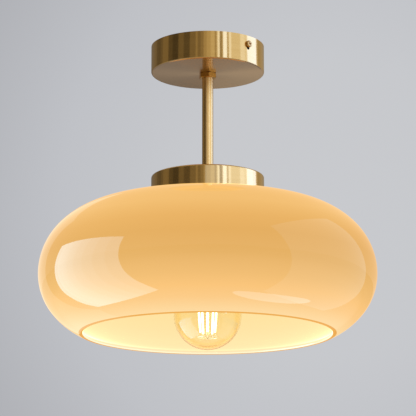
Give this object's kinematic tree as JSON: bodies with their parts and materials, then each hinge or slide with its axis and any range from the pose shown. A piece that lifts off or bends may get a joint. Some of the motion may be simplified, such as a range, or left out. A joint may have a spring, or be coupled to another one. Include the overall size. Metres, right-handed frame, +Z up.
{
  "type": "semi flush ceiling light",
  "caption": "Semi flush ceiling light: round metal canopy and cap joined by a slim stem, over a wide round glass shade open below, lit by a screw-in globe bulb.",
  "frame": {"origin": "on the ceiling's face, on the lamp's axis, at the centre of the two ceiling screw holes", "axes": "+Z up into the ceiling, -Y to the front of the picture, +X to its right"},
  "size_m": [0.3, 0.3, 0.277],
  "materials": {
    "brass": "satin brushed",
    "zinc": "zinc plated",
    "screw_brass": "bright turned",
    "tinned_tag": "tinned",
    "block_plastic": "matt polyamide",
    "line_sleeve": "brown silicone sleeve",
    "return_sleeve": "blue silicone sleeve",
    "earth_sleeve": "green and yellow silicone sleeve",
    "holder_plastic": "moulded black thermoset",
    "porcelain": "steatite",
    "shell_alloy": "pressed alloy",
    "silicone": "translucent silicone",
    "shade_glass": "glossy cream-amber cased opal glass",
    "bulb_glass": "clear, faintly amber",
    "mount_glass": "clear",
    "tip_solder": "soldered tip",
    "black_glass": "black vitreous insulator",
    "bulb_nickel": "nickel plated",
    "board": "circuit board",
    "light_stick": "phosphor coated light stick",
    "support_nickel": "nickel wire"
  },
  "bodies": {
    "root": {"canopy": "brass", "shade_cap": "brass", "stem": "brass", "canopy_outer_nut": "brass", "cap_outer_nut": "brass", "side_screws": "brass", "canopy_inner_nut": "zinc", "canopy_lock_washer": "zinc", "cap_inner_nut": "zinc", "cap_lock_washer": "zinc", "crossbar": "zinc", "block_screw": "zinc", "earth_screw": "screw_brass", "earth_tag": "tinned_tag", "terminal_block": "block_plastic", "terminal_poles": "screw_brass", "terminal_screws": "zinc", "line_wire": "line_sleeve", "return_wire": "return_sleeve", "earth_wire": "earth_sleeve", "holder_dome": "holder_plastic", "holder_barrel": "holder_plastic", "grub_screw": "zinc", "contact_carrier": "porcelain", "screw_shell": "shell_alloy", "centre_contact": "screw_brass", "side_contact": "screw_brass", "holder_terminals": "screw_brass", "holder_terminal_screws": "zinc", "flange_gasket": "silicone"},
    "bulb_travel": {"bulb_tip": "tip_solder"},
    "bulb": {"bulb_insulator": "black_glass", "bulb_shell": "bulb_nickel", "bulb_driver": "board", "bulb_globe": "bulb_glass", "bulb_mount": "mount_glass", "bulb_filaments": "light_stick", "bulb_support": "support_nickel", "bulb_leads": "support_nickel"},
    "shade_travel": {"glass_shade": "shade_glass", "ring_gasket": "silicone"},
    "ring": {"shade_ring": "holder_plastic"}
  },
  "joints": [
    {"name": "bulb_down", "type": "slide", "parent": "root", "child": "bulb_travel", "axis": [0, 0, -1], "range_m": [0, 0.01462]},
    {"name": "bulb_turn", "type": "hinge", "parent": "bulb_travel", "child": "bulb", "pos_m": [0, 0, -0.18], "axis": [0, 0, -1], "range_deg": [0, 1440]},
    {"name": "shade_down", "type": "slide", "parent": "root", "child": "shade_travel", "axis": [0, 0, -1], "range_m": [0, 0.025]},
    {"name": "ring_turn", "type": "hinge", "parent": "shade_travel", "child": "ring", "pos_m": [0, 0, -0.1555], "axis": [0, 0, -1], "range_deg": [0, 3601]}
  ],
  "couplings": [
    {"joint": "bulb_down", "follows": "bulb_turn", "m_per_rad": 0.00057757},
    {"joint": "ring_turn", "follows": "shade_down", "rad_per_m": 2513.3}
  ]
}
